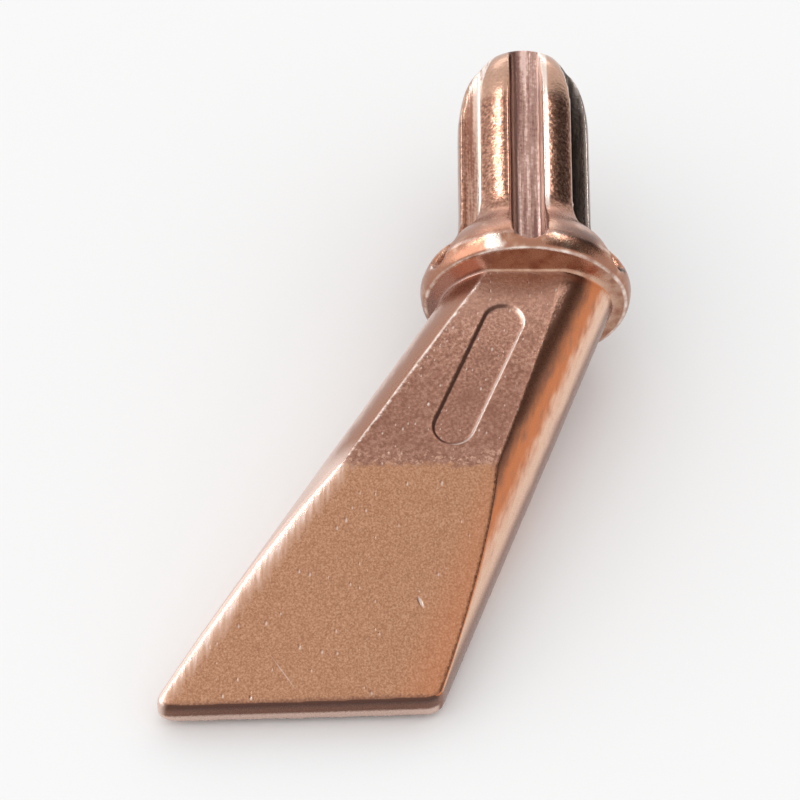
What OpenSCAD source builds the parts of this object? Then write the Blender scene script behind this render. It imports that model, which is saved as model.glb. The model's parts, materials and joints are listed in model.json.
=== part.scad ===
// Soldering copper: the forged hatchet bit of a gas soldering iron.
// The bit is one forging. It is drawn as its four regions, which meet face to face.
// Each region is modelled with the shank upright on Z, the origin at the middle of
// the collar's underside and the marked face towards -Y. The finished bit is then
// laid on its back as it lies on a bench: the shank points to +Y, the face looks up.

/* [Shank] */
// Diameter over the ribs
shank_d = 19; // [16:0.5:24]
// Height of the shank's end above the collar's underside
shank_h = 41.2; // [36:0.1:60]
// Length of the domed end
nose_l = 12.2; // [8:0.2:20]
// Diameter of the flat on the domed end
nose_flat_d = 9.6; // [2:0.2:11]

/* [Flutes] */
// Number of flutes that let the flame pass
flute_count = 6; // [4:1:8]
// Width of a flute
flute_w = 4.9; // [3:0.1:5.5]
// Depth of a flute below the ribs
flute_depth = 3.3; // [2:0.1:4.5]
// Height of the flutes' round lower end above the collar's underside
flute_end_h = 1.5; // [0.5:0.1:5]
// Turn of the flutes round the shank, away from the marked face
flute_turn = 1.5; // [-30:0.5:30]

/* [Collar] */
// Largest diameter of the collar
collar_d = 30; // [26:0.5:40]
// Height from the underside to where the shoulder meets the shank
collar_h = 10; // [6:0.5:14]
// Height of the widest circle above the underside
rim_h = 2.6; // [0.8:0.1:3]
// Width of the rounding on the rim's lower edge
rim_round = 0.8; // [0.4:0.1:2]
// Swell of the shoulder beyond a straight cone
shoulder_swell = 0.7; // [0:0.1:1.5]

/* [Head] */
// Thickness across the two forged flats
head_t = 17.8; // [14:0.2:20]
// Distance from the collar's underside to the middle of the working edge
head_l = 66.2; // [55:0.1:90]
// Reach of the long side from the shank's axis, at the collar
root_left = 11.8; // [9:0.1:13]
// Reach of the short side from the shank's axis, at the collar
root_right = 12.4; // [9:0.1:13]
// Lean of the long side, in degrees from the shank's axis
lean_left = 31; // [20:0.5:40]
// Lean of the short side, in degrees from the shank's axis
lean_right = 20.7; // [10:0.5:28]
// Radius of the long barrelled side at the collar, beyond half the thickness
left_root_crown = 1.1; // [0.1:0.1:4]
// Radius of the long barrelled side at the working edge, beyond half the thickness
left_edge_crown = 3.1; // [0.1:0.1:6]
// Radius of the short barrelled side at the collar, beyond half the thickness
right_root_crown = 0.2; // [0.1:0.1:4]
// Radius of the short barrelled side at the working edge, beyond half the thickness
right_edge_crown = 3.9; // [0.1:0.1:6]

/* [Blade] */
// Distance from the collar's underside to where the dressed facets start
facet_start = 32.4; // [28:0.2:45]
// Thickness of the blunt working edge
edge_t = 4.2; // [2:0.1:8]
// Slope of the working edge, in degrees, rising to the short side
edge_slope = 2; // [0:0.5:6]
// Radius of the corner at the long side
tip_r = 1.5; // [0.5:0.1:4]
// Radius of the corner at the short side
heel_r = 3; // [0.5:0.1:5]

/* [Recess] */
// Length of the bare marking recess
recess_l = 24.5; // [16:0.5:26]
// Width of the recess
recess_w = 5.7; // [3:0.1:8]
// Depth of the recess
recess_depth = 0.6; // [0.2:0.1:1.5]
// Distance of the recess's middle below the collar's underside
recess_drop = 17.4; // [14:0.1:20]
// Distance of the recess's middle from the shank's axis
recess_side = 7; // [3:0.1:10]
// Lean of the recess, in degrees from the shank's axis
recess_lean = 22; // [15:0.5:32]

/* [Hidden] */
$fn = 96;
copper_dark = "#8f5d47";
copper_plain = "#a9694b";
copper_bright = "#bd8360";
// Straight pieces along a rounded profile
arc_steps = 10;
// How far a cutting shape runs past what it cuts
past = 5;
// Share of a corner's radius from its centre to each edge, so that the arc crosses them cleanly
corner_set = 0.97;
shank_r = shank_d / 2;
collar_r = collar_d / 2;
head_half = head_t / 2;
edge_half = edge_t / 2;
// The bit lies on the collar's rim and on whichever of the blade's back edges comes first
lie_angle = min(
    atan((collar_r - head_half) / (rim_h + facet_start)),
    atan((collar_r - edge_half) / (rim_h + head_l))
);
// Head outline in the plane of the blade, as [x, z] points
left_root = [-root_left, 0];
right_root = [root_right, 0];
left_edge = [-root_left - head_l * tan(lean_left), -head_l];
right_edge = [root_right - head_l * tan(lean_right), -head_l];
edge_mid = (left_edge + right_edge) / 2;
edge_dir = [cos(edge_slope), sin(edge_slope)];
head_reach = norm(left_edge) + past;
// The barrelled sides, each as [root, edge, radius at the root, radius at the edge, way],
// where way is 1 if the stock lies to the left of the line from the root to the edge
left_side = [left_root, left_edge, head_half + left_root_crown, head_half + left_edge_crown, 1];
right_side = [right_root, right_edge, head_half + right_root_crown, head_half + right_edge_crown, -1];

function steps(count) = [for (i = [0:count]) i / count];
function unit(v) = v / norm(v);
// A quarter turn to the left
function turned(v) = [-v[1], v[0]];
// Where the line through a along u meets the line through b along v
function meet(a, u, b, v) =
    let (gap = b - a)
        a + u * (gap[0] * v[1] - gap[1] * v[0]) / (u[0] * v[1] - u[1] * v[0]);

module laid() {
    rotate([lie_angle - 90, 0, 0]) children();
}

// A plate that lies in the plane of the blade, from an outline of [x, z] points
module plate(thickness) {
    rotate([90, 0, 0]) linear_extrude(thickness, center = true) children();
}

// All flutes, each with a flat floor and a round lower end
module flutes() {
    floor_r = shank_r - flute_depth;
    reach = collar_r + past - floor_r;
    round_z = flute_end_h + flute_w / 2;
    for (i = [0:flute_count - 1])
        rotate([0, 0, flute_turn - 90 + i * 360 / flute_count])
            translate([floor_r, 0, round_z]) {
                translate([0, -flute_w / 2, 0]) cube([reach, flute_w, shank_h + past - round_z]);
                rotate([0, 90, 0]) cylinder(h = reach, d = flute_w);
            }
}

module fluted_shank() {
    flat_r = nose_flat_d / 2;
    nose_z = shank_h - nose_l;
    nose = [
        for (t = steps(arc_steps))
            [flat_r + (shank_r - flat_r) * cos(90 * t), nose_z + nose_l * sin(90 * t)]
    ];
    color(copper_dark) laid() difference() {
        rotate_extrude() polygon(concat([[0, collar_h], [shank_r, collar_h]], nose, [[0, shank_h]]));
        flutes();
    }
}

module collar() {
    rim = [
        for (t = steps(arc_steps))
            [collar_r - rim_round * (1 - sin(90 * t)), rim_h * (1 - cos(90 * t))]
    ];
    rise = [shank_r - collar_r, collar_h - rim_h];
    bulge = shoulder_swell * unit([rise[1], -rise[0]]);
    shoulder = [
        for (i = [1:arc_steps])
            let (t = i / arc_steps) [collar_r, rim_h] + rise * t + bulge * 4 * t * (1 - t)
    ];
    color(copper_plain) laid() difference() {
        rotate_extrude() polygon(concat([[0, 0]], rim, shoulder, [[0, collar_h]]));
        flutes();
    }
}

// The line that a barrelled side is turned about, from the collar to the edge
function barrel_axis(s) =
    let (inward = s[4] * turned(unit(s[1] - s[0])))
        [s[0] + inward * s[2], s[1] + inward * s[3]];

// Where a barrelled side's axis passes the given height
function axis_at(s, z) =
    let (axis = barrel_axis(s))
        meet(axis[0], axis[1] - axis[0], [0, z], [1, 0]);

// The cone of a barrelled side, which touches the head's outline along its outer line
module barrel(s) {
    axis = barrel_axis(s);
    along = norm(axis[1] - axis[0]);
    dir = (axis[1] - axis[0]) / along;
    taper = asin((s[3] - s[2]) / along);
    start = axis[0] - dir * s[2];
    translate([start[0], 0, start[1]])
        rotate([0, atan2(dir[0], dir[1]), 0])
            cylinder(
                h = s[2] + along + s[3],
                r1 = s[2] / cos(taper) - s[2] * tan(taper),
                r2 = s[3] / cos(taper) + s[3] * tan(taper)
            );
}

// All the stock within a barrelled side: its cone and the flat plate beyond the cone's axis
module within(s) {
    top = past;
    bottom = -head_l - past;
    barrel(s);
    plate(head_t) polygon([
        axis_at(s, top),
        axis_at(s, bottom),
        [s[4] * head_reach, bottom],
        [s[4] * head_reach, top]
    ]);
}

module blank() {
    intersection() {
        within(left_side);
        within(right_side);
    }
}

// A bar along X, from an outline of [y, z] points
module bar() {
    rotate([90, 0, 90]) linear_extrude(2 * head_reach, center = true) children();
}

// What a rounded corner takes away, with one side along u and the other along v
module corner(point, u, v, r) {
    half = acos(u * v) / 2;
    middle = unit(u + v);
    centre = point + middle * corner_set * r / sin(half);
    foot = corner_set * r / tan(half);
    plate(head_t + past) difference() {
        polygon([
            point - middle * past,
            point + u * foot - past * unit(middle - u * (middle * u)),
            centre,
            point + v * foot - past * unit(middle - v * (middle * v))
        ]);
        translate(centre) circle(r);
    }
}

module recess() {
    translate([-recess_side, -head_half, -recess_drop]) rotate([0, recess_lean, 0]) {
        cube([recess_w, 2 * recess_depth, recess_l - recess_w], center = true);
        for (end = [-1, 1])
            translate([0, 0, end * (recess_l - recess_w) / 2])
                rotate([90, 0, 0]) cylinder(h = 2 * recess_depth, d = recess_w, center = true);
    }
}

module neck() {
    color(copper_dark) laid() difference() {
        intersection() {
            blank();
            bar() translate([-head_half, -facet_start]) square([head_t, facet_start]);
        }
        recess();
    }
}

module blade() {
    left_dir = unit(left_root - left_edge);
    right_dir = unit(right_root - right_edge);
    tip = meet(left_root, left_dir, edge_mid, edge_dir);
    heel = meet(right_root, right_dir, edge_mid, edge_dir);
    thinning = (head_half - edge_half) / (head_l - facet_start);
    dip = head_l + tip[1];
    color(copper_bright) laid() difference() {
        intersection() {
            blank();
            bar() polygon([
                [-head_half, -facet_start],
                [head_half, -facet_start],
                [edge_half + thinning * dip, tip[1]],
                [-edge_half - thinning * dip, tip[1]]
            ]);
            plate(head_t + past) polygon([
                tip - edge_dir * past,
                heel + edge_dir * head_reach,
                [head_reach, past],
                [tip[0] - past, past]
            ]);
        }
        corner(tip, left_dir, edge_dir, tip_r);
        corner(heel, right_dir, -edge_dir, heel_r);
    }
}

fluted_shank();
collar();
neck();
blade();
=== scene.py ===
import json
from math import asin, atan2, cos, pi, radians, sin, tan

import bpy
from bpy.props import FloatProperty, FloatVectorProperty, IntProperty, PointerProperty
from mathutils import Matrix, Vector


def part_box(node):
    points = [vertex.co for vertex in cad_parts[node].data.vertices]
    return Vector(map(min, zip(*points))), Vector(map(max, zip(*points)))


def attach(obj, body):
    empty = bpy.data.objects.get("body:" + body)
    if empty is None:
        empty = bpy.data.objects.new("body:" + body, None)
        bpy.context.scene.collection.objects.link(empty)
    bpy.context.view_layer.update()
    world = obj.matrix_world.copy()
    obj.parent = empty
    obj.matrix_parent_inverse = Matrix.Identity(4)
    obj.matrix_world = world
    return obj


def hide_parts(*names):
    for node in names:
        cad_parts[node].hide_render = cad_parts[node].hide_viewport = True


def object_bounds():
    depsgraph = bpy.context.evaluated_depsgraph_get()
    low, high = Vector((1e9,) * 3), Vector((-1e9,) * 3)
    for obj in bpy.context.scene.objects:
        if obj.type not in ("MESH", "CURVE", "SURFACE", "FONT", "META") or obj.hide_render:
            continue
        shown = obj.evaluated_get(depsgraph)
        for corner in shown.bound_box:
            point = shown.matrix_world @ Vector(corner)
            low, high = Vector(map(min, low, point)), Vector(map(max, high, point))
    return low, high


bl_info = {
    "name": "Soldering copper",
    "version": (1, 0, 0),
    "blender": (4, 5, 0),
    "location": "View3D > Sidebar > Copper",
    "description": "Forges a hatchet-shaped soldering copper and sets it on a studio stage",
    "category": "Add Mesh",
}

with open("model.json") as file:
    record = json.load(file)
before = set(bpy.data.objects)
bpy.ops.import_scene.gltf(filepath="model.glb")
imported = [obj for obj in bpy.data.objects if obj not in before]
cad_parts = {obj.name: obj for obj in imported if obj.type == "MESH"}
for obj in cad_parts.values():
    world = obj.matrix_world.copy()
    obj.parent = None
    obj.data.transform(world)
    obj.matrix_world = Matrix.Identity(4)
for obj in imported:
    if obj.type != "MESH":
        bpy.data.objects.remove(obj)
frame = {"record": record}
CAD_LOW, CAD_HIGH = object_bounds()

# The bit is shaped upright, with the shank on Z and the front towards -Y, and is then laid on its back.
SHANK_AXIS = Vector(next(m["axis"] for m in frame["record"]["mounts"] if m["name"] == "shank"))
UPRIGHT = Vector((0, 0, 1))
LAY = UPRIGHT.rotation_difference(SHANK_AXIS)

MM = 0.001
# Sides of a turned surface, and of a slot's round ends, which have no vertex at mid-height
ROUND = 256
SLOT_ROUND = 50
# Steps of the turned profile's parts, and of a rounded corner
RIM_STEPS, SHOULDER_STEPS, BLEND_STEPS, NOSE_STEPS = 8, 14, 10, 20
CORNER_STEPS = 9
# How far a cut reaches past what it cuts, and the head into the collar
PAST = 5 * MM
ROOT_OVERLAP = 0.5 * MM
# A bisect leaves a vertex alone when it lies this near to the plane
CUT_TOLERANCE = 1e-8
# Share of the shoulder's rise at which its hollow blend into the ribs begins
BLEND_AT = 0.7
# Strength of one pass of smoothing, and the angle past which an edge is shaded sharp
SMOOTHING = 0.5
SHARP_ANGLE = radians(50)
# Shares of the ribs' radius where the smoothing of lobes and ribs sets in, and over which it does
LOBE_FROM, RIB_FROM, SETTING_IN = 0.8, 0.75, 0.25
# Share of the dies' waves that is left on the dressed facets
DRESSED_WAVES = 0.3
# Height of each finish's relief, and the share of it that a dent takes
HEAD_RELIEF = 0.09 * MM
STEM_RELIEF = 0.08 * MM
DENT_RELIEF = 0.25
# Dents of each kind: cells per millimetre, radius in millimetres and the share of the cells that has one
FORGED_DENTS = ((0.9, 0.15, 0.2), (0.45, 0.2, 0.2))
DRESSED_DENTS = ((0.75, 0.14, 0.08), (0.42, 0.2, 0.16), (0.25, 0.22, 0.2))
# Makes the dents narrower across the bit and longer along it
DENT_SCALE = (1.25, 1, 0.7)
# Sets the back of the bit apart from a pattern on its front
FAR_MM = 100.0
# Turn of the collar's painted highlight spot from the front, and its share of the rim's height
SPOT_TURN = radians(19)
SPOT_RISE = 0.4
# Brightness of the room as a light, of which 1 is the white that the camera sees
ROOM_LIGHT = 0.98
# Nearest distance that the camera sees
CAMERA_NEAR = 10 * MM
BODY = "root"


def span(node, axis):
    """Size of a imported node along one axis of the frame, in millimetres."""
    low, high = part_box(node)
    return (high[axis] - low[axis]) / MM


def length(name, description, millimetres):
    return FloatProperty(
        name=name, description=description, default=millimetres * MM, unit="LENGTH", precision=5
    )


def angle(name, description, degrees):
    return FloatProperty(name=name, description=description, default=radians(degrees), subtype="ANGLE")


def repeats(name, description, default):
    return IntProperty(name=name, description=description, default=default, min=0)


def colour(name, description, default):
    return FloatVectorProperty(
        name=name, description=description, default=default, size=3, min=0, max=1, subtype="COLOR"
    )


def share(name, description, default):
    return FloatProperty(name=name, description=description, default=default, min=0, max=1, subtype="FACTOR")


class ShankSizes(bpy.types.PropertyGroup):
    """Sizes of the fluted shank"""

    diameter: length("Diameter", "Diameter over the ribs", span("fluted_shank", 0))
    height: length("Height", "Height of the end above the collar's underside", 41.2)
    nose_l: length("Nose", "Length of the domed end", 12.2)
    nose_flat_d: length("Nose flat", "Diameter of the flat on the domed end", 9.6)
    flutes: IntProperty(name="Flutes", description="Number of flutes", default=6, min=3)
    flute_w: length("Flute width", "Width of a flute at its floor", 4.2)
    flute_mouth_w: length("Flute mouth", "Width of a flute between the ribs", 4.9)
    flute_depth: length("Flute depth", "Depth of a flute below the ribs", 3.3)
    flute_end_h: length("Flute end", "Height of the flutes' round lower end", 1.5)
    flute_turn: angle("Flute turn", "Turn of the flutes away from the front", 1.5)


class CollarSizes(bpy.types.PropertyGroup):
    """Sizes of the collar"""

    diameter: length("Diameter", "Largest diameter", span("collar", 0))
    height: length("Height", "Height from the underside to the shank", 10)
    rim_h: length("Rim height", "Height of the widest circle above the underside", 2.6)
    rim_round: length("Rim round", "Width of the rounding on the rim's lower edge", 0.8)
    swell: length("Swell", "Swell of the shoulder beyond a straight cone", 0.7)
    blend_h: length("Blend", "Height of the hollow blend from the shoulder into the ribs", 3.6)


class HeadSizes(bpy.types.PropertyGroup):
    """Sizes of the raked head, its dressed wedge and its shallow recess"""

    thickness: length("Thickness", "Thickness across the two forged flats", 17.8)
    length: length("Length", "Distance from the collar's underside to the working edge", 66.2)
    root_left: length("Long root", "Reach of the long side from the axis, at the collar", 11.8)
    root_right: length("Short root", "Reach of the short side from the axis, at the collar", 12.4)
    lean_left: angle("Long lean", "Lean of the long side from the shank's axis", 31)
    lean_right: angle("Short lean", "Lean of the short side from the shank's axis", 20.7)
    left_root_crown: length("Long root crown", "Barrel radius beyond half the thickness", 1.1)
    left_edge_crown: length("Long edge crown", "Barrel radius beyond half the thickness", 3.1)
    right_root_crown: length("Short root crown", "Barrel radius beyond half the thickness", 0.2)
    right_edge_crown: length("Short edge crown", "Barrel radius beyond half the thickness", 3.9)
    facet_start: length("Facet start", "Distance from the collar to the dressed facets", 32.4)
    edge_t: length("Edge thickness", "Thickness of the blunt working edge", 4.2)
    edge_slope: angle("Edge slope", "Slope of the working edge, rising to the short side", 2)
    tip_r: length("Tip radius", "Radius of the corner at the long side", 1.5)
    heel_r: length("Heel radius", "Radius of the corner at the short side", 3)
    worn_w: length("Worn margin", "Width of the worn margin along the facets' long side", 1.6)
    worn_tilt: angle("Worn tilt", "Tilt of the worn margin against its facet", 15)
    recess_l: length("Recess length", "Length of the shallow recess", 24.5)
    recess_w: length("Recess width", "Width of the recess", 5.7)
    recess_depth: length("Recess depth", "Depth of the recess", 0.6)
    recess_drop: length("Recess drop", "Distance of its middle below the collar", 17.4)
    recess_side: length("Recess side", "Distance of its middle from the shank's axis", 7)
    recess_lean: angle("Recess lean", "Lean of the recess from the shank's axis", 22)


class SkinSizes(bpy.types.PropertyGroup):
    """How the forged skin is rounded and uneven"""

    grid: length("Grid", "Size of the skin's faces", 0.21)
    edge_passes: repeats("Edge passes", "Smoothing of every edge", 9)
    root_passes: repeats("Root passes", "More smoothing under the collar", 5)
    lobe_passes: repeats("Lobe passes", "More smoothing of the shoulder", 24)
    rib_passes: repeats("Rib passes", "More smoothing of the ribs' edges", 8)
    worn_passes: repeats("Worn passes", "More smoothing of the worn margin", 120)
    recess_passes: repeats("Recess passes", "More smoothing of the recess", 14)
    barrel_passes: repeats("Barrel passes", "More smoothing of the sides", 30)
    crease_passes: repeats("Crease passes", "More smoothing of the short crease", 16)
    crease_reach: length("Crease reach", "How far the rounding of that crease reaches", 0.8)
    recess_reach: length("Recess reach", "How far the rounding of the recess reaches", 0.9)
    root_reach: length("Root reach", "How far the rounding under the collar reaches", 0.9)
    wave: length("Wave", "Height of the slow waves that the dies left", 0.12)
    wave_l: length("Wave length", "Length of those waves", 6)
    nick_depth: length("Nick depth", "Depth of the nick in the front facet", 0.12)
    nick_l: length("Nick length", "Length of that nick", 2.1)
    nick_w: length("Nick width", "Width of that nick", 0.6)
    nick_lean: angle("Nick lean", "Lean of that nick from the shank's axis", -26)
    nick_drop: length("Nick drop", "Distance of the nick below the collar", 52)
    nick_side: length("Nick side", "Distance of the nick from the shank's axis", 15)
    scratch_l: length("Scratch length", "Length of the faint scratch in the front facet", 7.6)
    scratch_w: length("Scratch width", "Width of that scratch", 0.2)
    scratch_lean: angle("Scratch lean", "Lean of that scratch from the shank's axis", -36)
    scratch_drop: length("Scratch drop", "Distance of the scratch below the collar", 62)
    scratch_side: length("Scratch side", "Distance of the scratch from the shank's axis", 33.5)


class CopperTones(bpy.types.PropertyGroup):
    """Colours of the copper's finishes, and of the light and shade painted on them"""

    forged: colour("Forged", "Brown skin as it left the dies", (0.345, 0.175, 0.123))
    forged_dark: colour("Forged dark", "Hollows of that skin", (0.225, 0.105, 0.073))
    forged_light: colour("Forged light", "Grains of that skin", (0.5, 0.29, 0.215))
    dressed: colour("Dressed", "Dressed facets", (0.46, 0.23, 0.133))
    dressed_dark: colour("Dressed dark", "Hollows of the facets", (0.37, 0.175, 0.098))
    dressed_light: colour("Dressed light", "Grains of the facets", (0.57, 0.31, 0.195))
    side: colour("Side", "Smooth barrelled sides", (0.6, 0.205, 0.085))
    # A painted reflection along the short side, where it faces right
    side_reflection: colour("Side pale", "Burnished line of the short side", (0.84, 0.56, 0.415))
    # Painted highlight on the long side, the worn margin, the collar's belt and the back of the working edge
    side_highlight: colour("Side bright", "Long side and worn margin, rubbed bright", (0.76, 0.56, 0.48))
    flute: colour("Flute", "Pinkish floors of the flutes", (0.42, 0.25, 0.205))
    flute_dark: colour("Flute dark", "Dark strokes in those floors", (0.24, 0.125, 0.105))
    flute_light: colour("Flute light", "Light strokes in those floors", (0.72, 0.5, 0.44))
    # Painted shade on the flutes and the far rib of the short side
    short_side_shade: colour("Stained", "Flutes that the flame has blackened", (0.1, 0.08, 0.07))
    # Rubbed grains and flecks, and painted sheen on the ribs' ends and beside the worn margin
    rubbed_and_sheen: colour("Rubbed", "Rubbed ends of the ribs", (0.6, 0.37, 0.265))
    polished: colour("Polished", "Smooth collar", (0.4, 0.185, 0.118))
    rib: colour("Rib", "Pebbled ribs", (0.37, 0.185, 0.125))
    # Painted shade along the working edge and its border on the facets
    edge: colour("Edge", "Oxidised working edge", (0.215, 0.1, 0.068))
    # Bright metal in the scratch and the nick, and painted highlights on lit walls, edges, creases and spots
    bare_and_highlight: colour("Bare", "Bright metal on worn edges and in specks", (0.93, 0.8, 0.72))
    # Painted shade in dents, on shaded walls, on the front of the working edge and on the short side's lobe
    painted_shade: colour("Pit", "Dark bottoms of the pits", (0.11, 0.055, 0.042))


class StageSizes(bpy.types.PropertyGroup):
    """Camera, light and floor"""

    elevation: angle("Elevation", "Height of the camera's view above the floor", 46.9)
    distance: length("Distance", "Distance from the camera to the bit", 710)
    aim_x: length("Aim sideways", "Where the camera aims, along X", -17.86)
    aim_up: length("Aim up", "Where the camera aims, up the picture from the origin", -13.42)
    lens: FloatProperty(name="Lens", description="Focal length in millimetres", default=225, min=1)
    light_distance: length("Light distance", "Distance of the lights and cards from the bit", 700)
    floor_size: length("Floor", "Width of the floor", 6000)
    floor_shade: share("Floor shade", "How pale the floor is", 0.97)


# Small helpers for modelling


def activate(piece):
    """Leaves only this object selected and active, in object mode."""
    if bpy.context.object and bpy.context.object.mode != "OBJECT":
        bpy.ops.object.mode_set(mode="OBJECT")
    bpy.ops.object.select_all(action="DESELECT")
    piece.select_set(True)
    bpy.context.view_layer.objects.active = piece


def start():
    """Deselects everything before a primitive is added."""
    bpy.ops.object.select_all(action="DESELECT")


def taken(name):
    """The object that was just added, under its own name."""
    piece = bpy.context.object
    piece.name = piece.data.name = name
    return piece


def edit_all(piece):
    activate(piece)
    bpy.ops.object.mode_set(mode="EDIT")
    bpy.ops.mesh.select_all(action="SELECT")


def edit_where(piece, test):
    """Opens the piece in edit mode with the vertices selected whose place passes the test."""
    activate(piece)
    mesh = piece.data
    for parts in (mesh.polygons, mesh.edges):
        parts.foreach_set("select", [False] * len(parts))
    for vertex in mesh.vertices:
        vertex.select = test(vertex.co)
    bpy.ops.object.mode_set(mode="EDIT")


def close_edit():
    """Turns all faces outwards and leaves edit mode."""
    bpy.ops.mesh.select_all(action="SELECT")
    bpy.ops.mesh.normals_make_consistent(inside=False)
    bpy.ops.object.mode_set(mode="OBJECT")


def apply_place(piece):
    activate(piece)
    bpy.ops.object.transform_apply(location=True, rotation=True, scale=True)


def apply_modifier(piece, kind, **settings):
    activate(piece)
    modifier = piece.modifiers.new(kind, kind)
    for name, value in settings.items():
        setattr(modifier, name, value)
    bpy.ops.object.modifier_apply(modifier=modifier.name)


def joined(name, pieces):
    activate(pieces[0])
    for piece in pieces:
        piece.select_set(True)
    bpy.ops.object.join()
    return taken(name)


def carve(piece, cutter):
    """Takes the cutter out of the piece and deletes the cutter."""
    apply_modifier(piece, "BOOLEAN", operation="DIFFERENCE", object=cutter, solver="EXACT")
    bpy.data.objects.remove(cutter)


def file_flat(piece, planes):
    """Cuts away what lies outside each plane, given as a point and an outward normal."""
    for point, normal in planes:
        edit_all(piece)
        bpy.ops.mesh.bisect(
            plane_co=point, plane_no=normal, use_fill=True, clear_outer=True, threshold=CUT_TOLERANCE
        )
        bpy.ops.object.mode_set(mode="OBJECT")


def weigh(piece, name, weight):
    """Adds a vertex group from a function of the vertex's place."""
    group = piece.vertex_groups.new(name=name)
    for vertex in piece.data.vertices:
        value = weight(vertex.co)
        if value > 0:
            group.add([vertex.index], min(value, 1), "REPLACE")


def arc(first, last, count):
    """Angles from first to last in equal steps."""
    return [first + (last - first) * i / count for i in range(count + 1)]


def lathe(name, profile):
    """A solid turned about Z, from the radius and height of each step of its profile."""
    start()
    radius, height = profile[0]
    bpy.ops.mesh.primitive_circle_add(
        vertices=ROUND, radius=radius, fill_type="NGON", location=(0, 0, height)
    )
    piece = taken(name)
    edit_all(piece)
    for next_radius, next_height in profile[1:]:
        bpy.ops.mesh.extrude_region_move(TRANSFORM_OT_translate={"value": (0, 0, next_height - height)})
        grow = next_radius / radius
        bpy.ops.transform.resize(value=(grow, grow, 1), center_override=(0, 0, next_height))
        radius, height = next_radius, next_height
    close_edit()
    return piece


def slot(name, width, reach, depth, origin, along, outward, flare=1):
    """A cutter with round ends, whose floor starts at origin, the middle of its first end, and runs along.

    It widens by flare up to its depth, about that middle, and then goes straight on.
    """
    start()
    bpy.ops.mesh.primitive_circle_add(vertices=SLOT_ROUND, radius=width / 2, fill_type="NGON")
    piece = taken(name)
    edit_where(piece, lambda place: place.y > 0)
    bpy.ops.transform.translate(value=(0, reach, 0))
    bpy.ops.mesh.select_all(action="SELECT")
    bpy.ops.mesh.extrude_region_move(TRANSFORM_OT_translate={"value": (0, 0, depth)})
    bpy.ops.transform.resize(value=(flare, flare, 1), center_override=(0, 0, depth))
    bpy.ops.mesh.extrude_region_move(TRANSFORM_OT_translate={"value": (0, 0, 2 * PAST)})
    close_edit()
    turn = Matrix((along.cross(outward), along, outward)).transposed()
    piece.matrix_world = Matrix.Translation(origin) @ turn.to_4x4()
    apply_place(piece)
    return piece


# The shank and the collar


def turned_profile(shank, collar):
    """Radius and height of the collar and the shank, from the underside to the domed end."""
    collar_r = collar.diameter / 2
    shank_r = shank.diameter / 2
    flat_r = shank.nose_flat_d / 2
    rim = [
        (collar_r - collar.rim_round * (1 - sin(t)), collar.rim_h * (1 - cos(t)))
        for t in arc(0, pi / 2, RIM_STEPS)
    ]
    foot = Vector((collar_r, collar.rim_h))
    corner = Vector((shank_r, collar.height))
    rise = corner - foot
    bulge = Vector((rise.y, -rise.x)).normalized() * collar.swell
    shoulder = [
        foot + rise * t + bulge * 4 * t * (1 - t) for t in arc(0, BLEND_AT, SHOULDER_STEPS)[1:]
    ]
    top = corner + Vector((0, collar.blend_h))
    blend = [
        shoulder[-1] * (1 - t) ** 2 + corner * 2 * t * (1 - t) + top * t ** 2
        for t in arc(0, 1, BLEND_STEPS)[1:]
    ]
    nose = [
        (flat_r + (shank_r - flat_r) * cos(t), shank.height - shank.nose_l * (1 - sin(t)))
        for t in arc(0, pi / 2, NOSE_STEPS)
    ]
    return rim + [tuple(point) for point in shoulder + blend] + nose


def flute_cutters(shank):
    floor_r = shank.diameter / 2 - shank.flute_depth
    round_z = shank.flute_end_h + shank.flute_mouth_w / 2
    cutters = []
    for i in range(shank.flutes):
        way = shank.flute_turn - pi / 2 + 2 * pi * i / shank.flutes
        outward = Vector((cos(way), sin(way), 0))
        cutters.append(slot(
            f"flute_{i}", shank.flute_w, shank.height, shank.flute_depth,
            outward * floor_r + UPRIGHT * round_z, UPRIGHT, outward, shank.flute_mouth_w / shank.flute_w,
        ))
    return joined("flutes", cutters)


# The head


def leaning(lean):
    """Direction in the plane of the blade that leans by an angle from the shank's axis."""
    return Vector((sin(lean), 0, cos(lean)))


def square_to(way):
    """Direction in the plane of the blade, square to another one."""
    return Vector((way.z, 0, -way.x))


def across(top, bottom):
    """Direction in the plane of the blade, square to the line from top to bottom, towards the long side."""
    return square_to((bottom - top).normalized())


def on_blade(side, drop):
    """A point by its distances from the shank's axis, towards the long side, and below the collar."""
    return Vector((-side, 0, -drop))


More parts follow.
